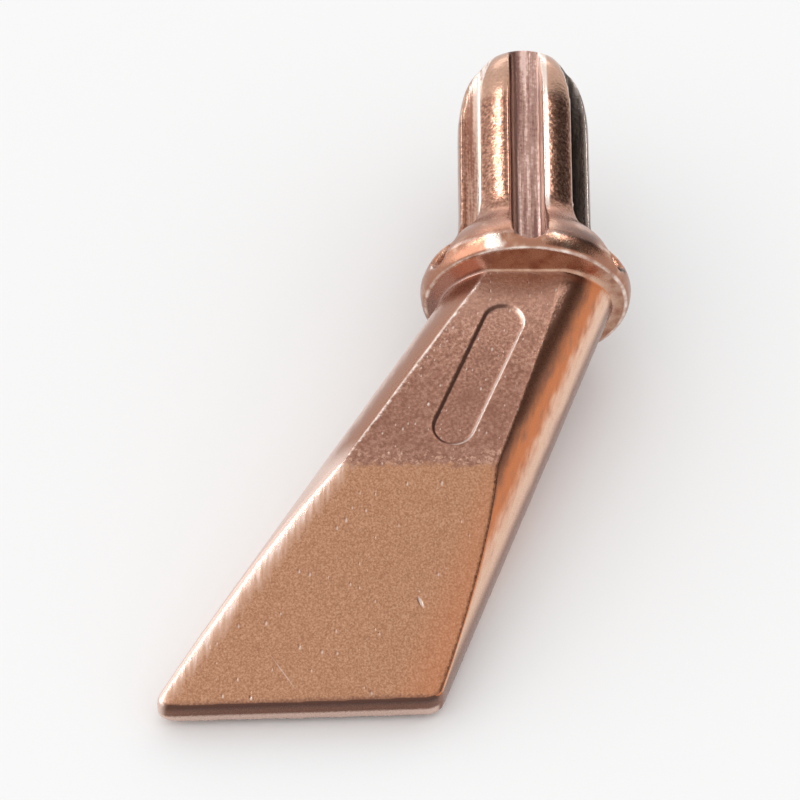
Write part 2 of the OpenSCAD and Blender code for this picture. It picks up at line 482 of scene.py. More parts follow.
class Side:
    """One barrelled side of the head: a cone that touches the head's outline along its outer line."""

    def __init__(self, head, root, lean, root_crown, edge_crown, way):
        self.root = Vector((root, 0, 0))
        self.edge = Vector((root - head.length * tan(lean), 0, -head.length))
        self.outward = across(self.root, self.edge) * way
        self.root_r = head.thickness / 2 + root_crown
        self.edge_r = head.thickness / 2 + edge_crown

    def axis(self):
        """Both ends of the line that the side is turned about."""
        return self.root - self.outward * self.root_r, self.edge - self.outward * self.edge_r

    def axis_at(self, height):
        top, bottom = self.axis()
        return top + (bottom - top) * (height - top.z) / (bottom.z - top.z)

    def crease_at(self, head, height):
        """Where the barrel meets the front flat, at the given height."""
        share = -height / head.length
        radius = self.root_r + (self.edge_r - self.root_r) * share
        return self.axis_at(height) + self.outward * (radius ** 2 - (head.thickness / 2) ** 2) ** 0.5

    def facet_crease(self, head):
        """Both ends of the line where the barrel meets the facets, seen square to the blade."""
        hollow = self.edge_r - (self.edge_r ** 2 - (head.edge_t / 2) ** 2) ** 0.5
        return self.crease_at(head, -head.facet_start), self.edge - self.outward * hollow

    def barrel(self, name):
        top, bottom = self.axis()
        line = bottom - top
        taper = asin((self.edge_r - self.root_r) / line.length)
        depth = self.root_r + line.length + self.edge_r
        middle = top + line.normalized() * (depth / 2 - self.root_r)
        start()
        bpy.ops.mesh.primitive_cone_add(
            vertices=ROUND,
            radius1=self.root_r * (1 - sin(taper)) / cos(taper),
            radius2=self.edge_r * (1 + sin(taper)) / cos(taper),
            depth=depth,
            location=middle,
            rotation=(0, atan2(line.x, line.z), 0),
        )
        piece = taken(name)
        apply_place(piece)
        return piece


def sides_of(head):
    left = Side(head, -head.root_left, head.lean_left, head.left_root_crown, head.left_edge_crown, 1)
    right = Side(head, head.root_right, head.lean_right, head.right_root_crown, head.right_edge_crown, -1)
    return left, right


def core(head, left, right):
    """The flat stock between the axes of the two barrelled sides."""
    top, bottom = PAST, -head.length - PAST
    corners = [left.axis_at(bottom), right.axis_at(bottom), left.axis_at(top), right.axis_at(top)]
    half = Vector((0, head.thickness / 2 + PAST, 0))
    start()
    bpy.ops.mesh.primitive_plane_add(size=1)
    piece = taken("core")
    for vertex, corner in zip(piece.data.vertices, corners):
        vertex.co = corner - half
    edit_all(piece)
    bpy.ops.mesh.extrude_region_move(TRANSFORM_OT_translate={"value": 2 * half})
    close_edit()
    return piece


def rounded_corner(point, first, second, radius):
    """Planes that round a corner between two outward normals."""
    centre = point - (first + second) * radius / (1 + first.dot(second))
    swing = first.angle(second)
    axis = first.cross(second)
    normals = [Matrix.Rotation(turn, 3, axis) @ first for turn in arc(0, swing, CORNER_STEPS)[1:-1]]
    return [(centre + normal * radius, normal) for normal in normals]


def facet_slope(head):
    """Angle between a dressed facet and the plane of the blade."""
    return atan2((head.thickness - head.edge_t) / 2, head.length - head.facet_start)


def working_edge(head, left, right):
    """A point on the working edge and its outward normal."""
    return (left.edge + right.edge) / 2, Vector((sin(head.edge_slope), 0, -cos(head.edge_slope)))


def head_planes(head, left, right):
    """Every flat of the head: forged flats, dressed facets with their worn margin, and the working edge."""
    half = head.thickness / 2
    edge_half = head.edge_t / 2
    slope = facet_slope(head)
    edge_mid, edge_normal = working_edge(head, left, right)
    edge_line = -square_to(edge_normal)
    planes = [(edge_mid, edge_normal), (UPRIGHT * ROOT_OVERLAP, UPRIGHT)]
    for face in (-1, 1):
        facet_normal = Vector((0, face * cos(slope), -sin(slope)))
        facet_point = Vector((0, face * half, -head.facet_start))
        planes.append((Vector((0, face * half, 0)), Vector((0, face, 0))))
        planes.append((facet_point, facet_normal))
        top, bottom = (point - left.outward * head.worn_w for point in left.facet_crease(head))
        top.y, bottom.y = face * half, face * edge_half
        turn = Matrix.Rotation(-face * head.worn_tilt, 3, bottom - top)
        planes.append((bottom, turn @ facet_normal))
    for side, radius in ((left, head.tip_r), (right, head.heel_r)):
        reach = (edge_mid - side.edge).dot(side.outward) / edge_line.dot(side.outward)
        corner = edge_mid - edge_line * reach
        planes += rounded_corner(corner, side.outward, edge_normal, radius)
    return planes


def recess_cutter(head):
    along = leaning(head.recess_lean)
    outward = Vector((0, -1, 0))
    middle = on_blade(head.recess_side, head.recess_drop)
    middle += outward * (head.thickness / 2 - head.recess_depth)
    reach = head.recess_l - head.recess_w
    return slot("recess", head.recess_w, reach, head.recess_depth, middle - along * reach / 2, along, outward)


# Materials


def bare_tree(owner):
    """The empty node tree of a new material or world."""
    owner.use_nodes = True
    owner.node_tree.nodes.clear()
    return owner.node_tree


def feed(tree, socket, value):
    """Sets a socket to a value, or links it to another socket."""
    if isinstance(value, bpy.types.NodeSocket):
        tree.links.new(value, socket)
    elif socket.type == "RGBA":
        socket.default_value = (*value, 1)
    else:
        socket.default_value = value


def add_node(tree, kind, settings=None, inputs=None):
    made = tree.nodes.new(kind)
    for name, value in (settings or {}).items():
        setattr(made, name, value)
    for name, value in (inputs or {}).items():
        feed(tree, made.inputs[name], value)
    return made


def plain_material(name, kind, inputs):
    """A material of one shader, for the stage."""
    material = bpy.data.materials.new(name)
    tree = bare_tree(material)
    shader = add_node(tree, kind, inputs=inputs)
    add_node(tree, "ShaderNodeOutputMaterial", inputs={"Surface": shader.outputs[0]})
    return material


class Finish:
    """A copper material under construction, with the patterns that its finishes share.

    Places are in millimetres on the upright bit; to_right, to_back and to_top say which way its skin faces.
    A factor is a number, a pattern, or a tuple of a pattern and the two values between which it steps.
    """

    def __init__(self, name):
        self.material = bpy.data.materials.new(name)
        self.tree = bare_tree(self.material)
        place = add_node(self.tree, "ShaderNodeTexCoord")
        turn = LAY.inverted().to_euler()
        self.upright = add_node(self.tree, "ShaderNodeMapping", inputs={
            "Vector": place.outputs["Object"], "Rotation": turn, "Scale": (1 / MM,) * 3,
        }).outputs["Vector"]
        facing = add_node(self.tree, "ShaderNodeMapping", {"vector_type": "NORMAL"}, {
            "Vector": place.outputs["Normal"], "Rotation": turn,
        }).outputs["Vector"]
        self.x, self.y, self.z = self.parts(self.upright)
        self.to_right, self.to_back, self.to_top = self.parts(facing)
        self.front = self.math("LESS_THAN", self.y, 0.0)

    def math(self, operation, *values):
        made = add_node(self.tree, "ShaderNodeMath", {"operation": operation})
        for socket, value in zip(made.inputs, values):
            feed(self.tree, socket, value)
        return made.outputs[0]

    def plus(self, first, second):
        return self.math("ADD", first, second)

    def minus(self, first, second):
        return self.math("SUBTRACT", first, second)

    def absolute(self, value):
        return self.math("ABSOLUTE", value)

    def hypot(self, first, second):
        squares = (self.math("MULTIPLY", value, value) for value in (first, second))
        return self.math("SQRT", self.plus(*squares))

    def between(self, value, low, high):
        """0 below low, 1 above high and a soft step between them; low may be the larger."""
        return add_node(
            self.tree, "ShaderNodeMapRange", {"interpolation_type": "SMOOTHSTEP"},
            {"Value": value, "From Min": low, "From Max": high},
        ).outputs["Result"]

    def times(self, first, *others):
        """Product of factors, in which a tuple of a value, low and high is a soft step."""
        product = self.between(*first) if isinstance(first, tuple) else first
        for other in others:
            product = self.math("MULTIPLY", product, self.times(other))
        return product

    def mixed(self, factor, first, second):
        made = add_node(self.tree, "ShaderNodeMix", {"data_type": "RGBA"})
        for index, value in ((0, factor), (6, first), (7, second)):
            feed(self.tree, made.inputs[index], value)
        return made.outputs[2]

    def blend(self, factor, first, second):
        """A number between two others."""
        made = add_node(self.tree, "ShaderNodeMix", {"data_type": "FLOAT"})
        for index, value in ((0, factor), (2, first), (3, second)):
            feed(self.tree, made.inputs[index], value)
        return made.outputs[0]

    def painted(self, tone, paint, *factors):
        """A tone with a paint over it, as thick as the product of the factors."""
        return self.mixed(self.times(*factors), tone, paint)

    def grained(self, grain, dark, middle, light, spread=0.16):
        """Three tones by a grain pattern, more sharply parted when the spread is small."""
        tone = self.painted(middle, dark, (grain, 0.5, 0.5 - spread))
        return self.painted(tone, light, (grain, 0.5, 0.5 + spread))

    def parts(self, vector):
        """The three coordinates of a vector."""
        return tuple(add_node(self.tree, "ShaderNodeSeparateXYZ", inputs={"Vector": vector}).outputs)

    def measured(self, operation, vector):
        """A number from the place and another vector."""
        made = add_node(self.tree, "ShaderNodeVectorMath", {"operation": operation})
        feed(self.tree, made.inputs[0], self.upright)
        feed(self.tree, made.inputs[1], vector)
        return made.outputs["Value"]

    def gap(self, point, outward):
        """Distance inside the plane through a point, below zero outside it."""
        return self.minus(point.dot(outward) / MM, self.measured("DOT_PRODUCT", outward))

    def stretched(self, scale, shift=(0, 0, 0)):
        return add_node(
            self.tree, "ShaderNodeMapping", inputs={"Vector": self.upright, "Scale": scale, "Location": shift}
        ).outputs["Vector"]

    def noise(self, per_mm, detail=3.0, scale=(1, 1, 1), roughness=0.5):
        return add_node(self.tree, "ShaderNodeTexNoise", inputs={
            "Vector": self.stretched(scale), "Scale": per_mm, "Detail": detail, "Roughness": roughness,
        }).outputs["Fac"]

    def radius(self):
        """Distance from the shank's axis."""
        return self.hypot(self.x, self.y)

    def oval(self, middle, lean, long, wide):
        """An oval on the front: 0 at its middle and 1 on its border."""
        along = leaning(lean)
        first = self.math("DIVIDE", self.gap(middle, along), long / 2 / MM)
        second = self.math("DIVIDE", self.gap(middle, square_to(along)), wide / 2 / MM)
        return self.hypot(first, second)

    def recess(self, head):
        """Distance outside the recess's border, and to the right of its middle line."""
        middle = on_blade(head.recess_side, head.recess_drop)
        along = leaning(head.recess_lean)
        beside = self.gap(middle, -square_to(along))
        half_mm = (head.recess_l - head.recess_w) / 2 / MM
        beyond = self.minus(self.absolute(self.gap(middle, along)), half_mm)
        from_middle = self.hypot(beside, self.math("MAXIMUM", beyond, 0.0))
        outside = self.minus(from_middle, head.recess_w / 2 / MM)
        back = self.math("GREATER_THAN", self.y, 0.0)
        return self.plus(outside, self.times(back, FAR_MM)), beside

    def spots(self, per_mm, radius, kept, shift=(0, 0, 0)):
        """Spots on the two faces, one to a cell and of many sizes, of which only a share is kept."""
        x, _, z = self.parts(self.stretched(DENT_SCALE, shift))
        flat = add_node(self.tree, "ShaderNodeCombineXYZ", inputs={"X": x, "Y": z}).outputs["Vector"]
        cells = add_node(
            self.tree, "ShaderNodeTexVoronoi", {"voronoi_dimensions": "2D"}, {"Vector": flat, "Scale": per_mm}
        )
        chance, breadth, _ = self.parts(cells.outputs["Color"])
        size = self.times(self.plus(breadth, 0.5), radius * per_mm)
        from_middle = self.math("DIVIDE", cells.outputs["Distance"], size)
        return self.times((from_middle, 1.0, 0.3), self.math("LESS_THAN", chance, kept))

    def dented(self, tone, dents, tones):
        """Dents with painted shade in their hollow and a painted highlight on their far wall, from the cells
        per mm, radius and kept share of each kind.
        """
        relief = 0.0
        for per_mm, radius, kept in dents:
            hollow = self.spots(per_mm, radius, kept)
            # Painted highlight on each dent's far wall, and painted shade in its hollow
            lit = self.spots(per_mm, radius, kept, (-0.8 * radius, 0, 0.8 * radius))
            tone = self.painted(tone, tones.bare_and_highlight, lit, 0.4)
            tone = self.painted(tone, tones.painted_shade, hollow, 0.35)
            relief = self.plus(relief, hollow)
        return tone, relief

    def close(self, tone, roughness, height, depth):
        """Makes the metal from its colour, roughness and relief, whose full height is depth."""
        relief = add_node(
            self.tree, "ShaderNodeBump", inputs={"Strength": 1.0, "Distance": depth, "Height": height}
        )
        metal = add_node(self.tree, "ShaderNodeBsdfPrincipled", inputs={
            "Base Color": tone, "Metallic": 1.0, "Roughness": roughness, "Normal": relief.outputs["Normal"],
        })
        add_node(self.tree, "ShaderNodeOutputMaterial", inputs={"Surface": metal.outputs["BSDF"]})
        return self.material


# Each ground below is the colour, roughness and relief of one finish


def forged_ground(finish, tones, head, left):
    """Brown, pebbled flats with rubbed flecks, a painted highlight along the long crease, bands of painted
    light down the neck, and painted shade and highlight on the recess's walls.
    """
    grain = finish.noise(2.3, 5, roughness=0.65)
    tone = finish.grained(grain, tones.forged_dark, tones.forged, tones.forged_light, 0.12)
    tone = finish.painted(tone, tones.forged_dark, (finish.noise(0.3, 5), 0.5, 0.9))
    # Painted light: lighter just under the collar and darker further down the neck
    tone = finish.painted(tone, tones.forged_light, (finish.z, -14.0, -2.0), 0.55)
    tone = finish.painted(tone, tones.forged_dark, (finish.z, -9.0, -22.0), 0.48)
    tone, dents = finish.dented(tone, FORGED_DENTS, tones)
    flecks = finish.noise(1.5, 5, roughness=0.7)
    from_facet = finish.absolute(finish.plus(finish.z, head.facet_start / MM))
    tone = finish.painted(tone, tones.rubbed_and_sheen, (flecks, 0.52, 0.6), 0.6, (from_facet, 4.0, 1.0))
    # Painted highlight along the long crease
    top, bottom = left.crease_at(head, 0), left.crease_at(head, -head.facet_start)
    from_crease = finish.absolute(finish.gap(top, across(top, bottom)))
    ragged = finish.plus(from_crease, finish.times(finish.noise(1.2, 5, roughness=0.7), 1.6))
    tone = finish.painted(tone, tones.bare_and_highlight, (ragged, 1.4, 0.8), 0.8)
    # Painted shade on the recess's shaded wall, and a painted highlight on its lit rim
    outside, beside = finish.recess(head)
    from_wall = finish.absolute(finish.plus(outside, 0.1))
    tone = finish.painted(tone, tones.painted_shade, (from_wall, 0.3, 0.1), (beside, 0.5, -1.0), 0.9)
    from_rim = finish.absolute(outside)
    tone = finish.painted(tone, tones.bare_and_highlight, (from_rim, 0.32, 0.1), (beside, 0.3, 1.8), 0.8)
    relief = finish.minus(grain, finish.times(dents, DENT_RELIEF))
    return tone, finish.blend(grain, 0.3, 0.44), relief


def dressed_ground(finish, tones, head, skin, left, right):
    """Dressed facets with dents, a scratch, a nick with painted shade on one wall, a painted highlight in
    strokes along the worn margin, and painted shade along the working edge.
    """
    grain = finish.noise(3.4, 6, roughness=0.7)
    strokes = finish.noise(1.0, 3, (1.7, 1.7, 0.05))
    tone = finish.grained(grain, tones.dressed_dark, tones.dressed, tones.dressed_light, 0.11)
    tone, dents = finish.dented(tone, DRESSED_DENTS, tones)
    tone = finish.painted(tone, tones.side, (finish.gap(right.edge, right.outward), 8.0, 0.5), 0.36)
    place = on_blade(skin.scratch_side, skin.scratch_drop)
    scratch = finish.oval(place, skin.scratch_lean, skin.scratch_l, skin.scratch_w)
    tone = finish.painted(tone, tones.bare_and_highlight, (scratch, 1.0, 0.2), 0.35, finish.front)
    # The nick: bright inside, with painted shade beside one wall
    for shift, paint in ((0.35, tones.painted_shade), (0, tones.bare_and_highlight)):
        place = on_blade(skin.nick_side + shift * skin.nick_w, skin.nick_drop)
        nick = finish.oval(place, skin.nick_lean, skin.nick_l, skin.nick_w)
        tone = finish.painted(tone, paint, (nick, 1.0, 0.4), 0.6, finish.front)
    # Painted highlight in strokes along the worn margin
    top, bottom = left.facet_crease(head)
    margin = finish.plus(finish.gap(top, across(top, bottom)), finish.times(strokes, 3.0))
    worn_mm = head.worn_w / MM
    tone = finish.painted(tone, tones.rubbed_and_sheen, (margin, worn_mm + 2.6, worn_mm + 0.8))
    tone = finish.painted(tone, tones.side_highlight, (margin, worn_mm + 1.2, worn_mm + 0.2))
    # Painted shade along the working edge
    uneven = finish.times(finish.noise(2.8, 5, roughness=0.7), 2.2)
    to_edge = finish.plus(finish.gap(*working_edge(head, left, right)), uneven)
    from_tip = finish.gap(left.edge, left.outward)
    tone = finish.painted(tone, tones.edge, (to_edge, 2.1, 1.1), (from_tip, 1.2, 2.6))
    relief = finish.plus(finish.times(strokes, 0.6), finish.times(grain, 0.4))
    relief = finish.minus(relief, finish.times(dents, DENT_RELIEF))
    return tone, finish.blend(grain, 0.26, 0.38), relief


def side_ground(finish, tones, head, left, right):
    """Smooth barrelled sides in streaks, with painted light by the way they face: painted shade at their
    creases and where the short side turns away, painted highlights on the long side, a painted reflection in
    a line along the short side, and painted shade and reflection on the working edge.
    """
    grain = finish.noise(2.4, 3)
    streaks = finish.noise(1.2, 2, (1, 1, 0.12))
    uneven = finish.times(finish.minus(streaks, 0.5), 0.12)
    to_left = finish.minus(uneven, finish.to_right)
    to_right = finish.plus(uneven, finish.to_right)
    to_flat = finish.absolute(finish.plus(finish.to_back, uneven))
    tone = finish.painted(tones.polished, tones.side, (streaks, 0.1, 0.55))
    # Painted light by the way the skin faces: painted shade near the creases and where the short side turns
    # away, brown then a painted highlight where the sides face left, and a painted reflection where they face
    # right
    tone = finish.painted(tone, tones.forged_dark, (to_flat, 0.64, 0.78), 0.8)
    tone = finish.painted(tone, tones.rib, (to_left, 0.0, 0.2))
    tone = finish.painted(tone, tones.side_reflection, (to_right, 0.76, 0.88))
    turned_away = finish.times((finish.to_back, -0.32, -0.12), (finish.to_back, 0.5, 0.3))
    tone = finish.painted(tone, tones.forged_dark, turned_away, (to_right, 0.3, 0.7), 0.85)
    tone = finish.painted(tone, tones.side_highlight, (to_left, 0.62, 0.8))
    # Painted highlight on the long side of the blade, below the facets' start
    start_mm = head.facet_start / MM
    tone = finish.painted(tone, tones.side_highlight, (finish.z, 5 - start_mm, -start_mm), (to_left, 0.2, 0.35))
    # Painted shade on the front of the working edge and a painted reflection on its back
    ragged = finish.times(finish.minus(grain, 0.5), 0.5)
    to_edge = finish.plus(finish.gap(*working_edge(head, left, right)), ragged)
    downward = finish.between(finish.to_top, -0.7, -0.85)
    working = finish.math("MAXIMUM", finish.between(to_edge, 0.7, 0.4), downward)
    backward = finish.plus(finish.y, ragged)
    edge = finish.painted(tones.painted_shade, tones.edge, (backward, -1.9, -0.4))
    edge = finish.painted(edge, tones.side_highlight, (backward, 0.1, 0.8))
    from_tip = finish.gap(left.edge, left.outward)
    tone = finish.painted(tone, edge, working, (from_tip, 1.0, 2.4))
    return tone, finish.blend(grain, 0.22, 0.34), finish.times(grain, 0.05)


def layered(finish, factor, lower, upper):
    """Lays one ground over another by a mask."""
    tone = finish.mixed(factor, lower[0], upper[0])
    return tone, finish.blend(factor, lower[1], upper[1]), finish.blend(factor, lower[2], upper[2])


def head_ground(finish, scene):
    """Forged flats, dressed facets with a ragged start, and smooth sides."""
    tones, head, skin = scene.copper_tones, scene.copper_head, scene.copper_skin
    left, right = sides_of(head)
    ragged = finish.times(finish.minus(finish.noise(1.2, 4), 0.5), 2.4)
    start_mm = head.facet_start / MM
    dressed = finish.between(finish.minus(ragged, finish.z), start_mm - 0.5, start_mm + 0.5)
    flats = layered(
        finish, dressed,
        forged_ground(finish, tones, head, left),
        dressed_ground(finish, tones, head, skin, left, right),
    )
    facing = finish.between(finish.absolute(finish.to_back), 0.84, 0.95)
    walls = finish.between(finish.recess(head)[0], 0.9, 0.6)
    flat = finish.math("MAXIMUM", facing, walls)
    return layered(finish, flat, side_ground(finish, tones, head, left, right), flats)


def flute_place(finish, shank):
    """Distance to the right of the nearest flute's middle, and 1 on all floors and walls."""
    pitch = pi / shank.flutes
    turn = finish.minus(finish.math("ARCTAN2", finish.y, finish.x), shank.flute_turn - pi / 2)
    turn = finish.math("WRAP", turn, pitch, -pitch)
    aside = finish.times(finish.radius(), finish.math("SINE", turn))
    half_mm = shank.flute_mouth_w / 2 / MM
    end_mm = shank.flute_end_h / MM
    floor_mm = (shank.diameter / 2 - shank.flute_depth) / MM
    return aside, finish.times(
        (finish.absolute(aside), half_mm, half_mm - 0.3),
        (finish.z, end_mm, end_mm + 1),
        (finish.radius(), floor_mm - 0.4, floor_mm - 0.15),
    )


def flute_ground(finish, tones, shank, aside):
    """Streaked floors between a wall in painted shade and a wall with a painted highlight; the flutes of the
    long side are painted lighter and those of the short side in painted shade.
    """
    grain = finish.noise(2.2, 4)
    strokes = finish.noise(1.0, 4, (1.0, 1.0, 0.04), 0.6)
    streaks = finish.blend(0.2, strokes, grain)
    tone = finish.grained(streaks, tones.flute_dark, tones.flute, tones.flute_light, 0.09)
    # Painted highlight on each flute's right wall, and painted shade on its left wall
    wall_mm = shank.flute_mouth_w / 2 / MM
    tone = finish.painted(tone, tones.bare_and_highlight, (aside, wall_mm - 0.6, wall_mm - 0.35), (finish.z, 6.0, 9.0))
    tone = finish.painted(tone, tones.painted_shade, (aside, 1.7 - wall_mm, 1.1 - wall_mm))
    # Painted light: the flutes of the long side lighter, those of the short side in painted shade
    lit = finish.painted(tones.flute, tones.bare_and_highlight, (streaks, 0.42, 0.56))
    tone = finish.painted(tone, lit, (finish.x, -3.0, -4.5))
    tone = finish.painted(tone, tones.short_side_shade, (finish.x, 3.0, 4.5))
    return tone, finish.blend(grain, 0.3, 0.42), finish.plus(strokes, grain)


def rib_ground(finish, tones, shank, aside):
    """Pebbled ribs with painted highlights on their lit edges, painted sheen on their ends and painted shade
    on the far rib of the short side.
    """
    grain = finish.noise(2.2, 4)
    tone = finish.grained(grain, tones.forged_dark, tones.rib, tones.forged_light)
    # Painted sheen on the ribs' ends
    nose_mm = (shank.height - shank.nose_l) / MM
    tone = finish.painted(tone, tones.rubbed_and_sheen, (finish.z, nose_mm + 1, nose_mm + 3), 0.7)
    # Painted highlight along the lit side of each rib's edges, and along both edges towards the short side
    from_edge = finish.minus(finish.absolute(aside), shank.flute_mouth_w / 2 / MM)
    lit = finish.between(aside, 0.0, 1.0)
    worn = finish.math("MAXIMUM", lit, finish.between(finish.x, 3.5, 4.5))
    wide = finish.times(lit, (finish.x, 0.0, 2.0))
    line = finish.between(from_edge, finish.blend(wide, 0.4, 0.85), finish.blend(wide, 0.15, 0.5))
    tone = finish.painted(tone, tones.bare_and_highlight, line, 0.8, worn)
    # Painted shade on the far rib of the short side
    tone = finish.painted(tone, tones.short_side_shade, (finish.x, 7.4, 8.4), 0.8)
    return tone, finish.blend(grain, 0.16, 0.26), finish.times(grain, 0.35)


def highlight_spot(collar):
    """Where a highlight is painted on the collar's belt, beside the front flute."""
    radius = collar.diameter / 2
    return Vector((-radius * sin(SPOT_TURN), -radius * cos(SPOT_TURN), SPOT_RISE * collar.rim_h))


def collar_ground(finish, tones, collar):
    """The smoother collar: painted highlights on its belt, rim line and one spot, a patchy underside painted
    in place of its reflections, and painted shade on the short side's lobe.
    """
    grain = finish.noise(3.0, 4)
    uneven = finish.noise(0.4, 4)
    tone = finish.grained(uneven, tones.forged, tones.polished, tones.rubbed_and_sheen, 0.25)
    # Painted highlight along the belt
    from_belt = finish.absolute(finish.minus(finish.z, collar.rim_h / MM))
    tone = finish.painted(tone, tones.side_highlight, (from_belt, 0.5, 0.1), (uneven, 0.3, 0.8))
    rim_mm = (collar.diameter / 2 - collar.rim_round) / MM
    # The underside painted in patches, mauve towards the long side, in place of its reflections
    patchy = finish.painted(tones.rubbed_and_sheen, tones.polished, (uneven, 0.4, 0.7))
    patchy = finish.painted(patchy, tones.flute, (finish.x, -3.0, -8.0))
    tone = finish.painted(tone, patchy, (finish.z, 0.5, 0.1), (finish.radius(), rim_mm, rim_mm - 0.5))
    # Painted highlight along the rim's lower edge
    from_rim = finish.absolute(finish.minus(finish.radius(), rim_mm))
    rim_line = finish.times((from_rim, 0.35, 0.1), (finish.absolute(finish.z), 0.6, 0.3))
    tone = finish.painted(tone, tones.bare_and_highlight, rim_line, (uneven, 0.3, 0.7))
    # Painted highlight spot on the belt
    from_spot = finish.measured("DISTANCE", highlight_spot(collar) / MM)
    spot = finish.plus(from_spot, finish.times(finish.noise(0.9, 4), 2.0))
    tone = finish.painted(tone, tones.bare_and_highlight, (spot, 2.9, 1.7))
    # Painted shade on the short side's lobe
    height = finish.plus(finish.z, uneven)
    beside = finish.times((finish.x, 2.5, 5.0), (finish.x, 11.0, 9.0))
    lobe_shade = finish.times(beside, (height, 2.0, 3.0), (height, 6.5, 4.5), finish.front, 0.8)
    tone = finish.mixed(lobe_shade, tone, tones.painted_shade)
    return tone, finish.blend(grain, 0.2, 0.33), finish.times(grain, 0.32)


def stem_ground(finish, scene):
    """Collar, ribs and flutes."""
    tones, shank, collar = scene.copper_tones, scene.copper_shank, scene.copper_collar
    collar_mm = collar.height / MM
    aside, flutes = flute_place(finish, shank)
    upper = finish.between(finish.z, collar_mm - 1, collar_mm + 2)
    ribs = rib_ground(finish, tones, shank, aside)
    ground = layered(finish, upper, collar_ground(finish, tones, collar), ribs)
    return layered(finish, flutes, ground, flute_ground(finish, tones, shank, aside))


def head_copper(scene):
    finish = Finish("head_copper")
    return finish.close(*head_ground(finish, scene), HEAD_RELIEF)


def stem_copper(scene):
    """Finish of the shank and the collar, which has the head's skin below its underside."""
    finish = Finish("stem_copper")
    below = finish.between(finish.z, -0.25, -0.5)
    ground = layered(finish, below, stem_ground(finish, scene), head_ground(finish, scene))
    return finish.close(*ground, STEM_RELIEF)


# Pieces


def cut_piece(name, low, high, material, node):
    """Cuts one region out of the forging between two heights, lays it on its back and finishes it."""
    forging = bpy.data.objects["forging"]
    piece = forging.copy()
    piece.data = forging.data.copy()
    piece.name = piece.data.name = name
    bpy.context.scene.collection.objects.link(piece)
    planes = []
    if low is not None:
        planes.append((Vector((0, 0, low)), -UPRIGHT))
    if high is not None:
        planes.append((Vector((0, 0, high)), UPRIGHT))
    file_flat(piece, planes)
    piece.rotation_mode = "QUATERNION"
    piece.rotation_quaternion = LAY
    apply_place(piece)
    bpy.ops.object.shade_smooth_by_angle(angle=SHARP_ANGLE)
    piece.data.materials.clear()
    piece.data.materials.append(material)
    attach(piece, BODY)
    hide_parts(node)


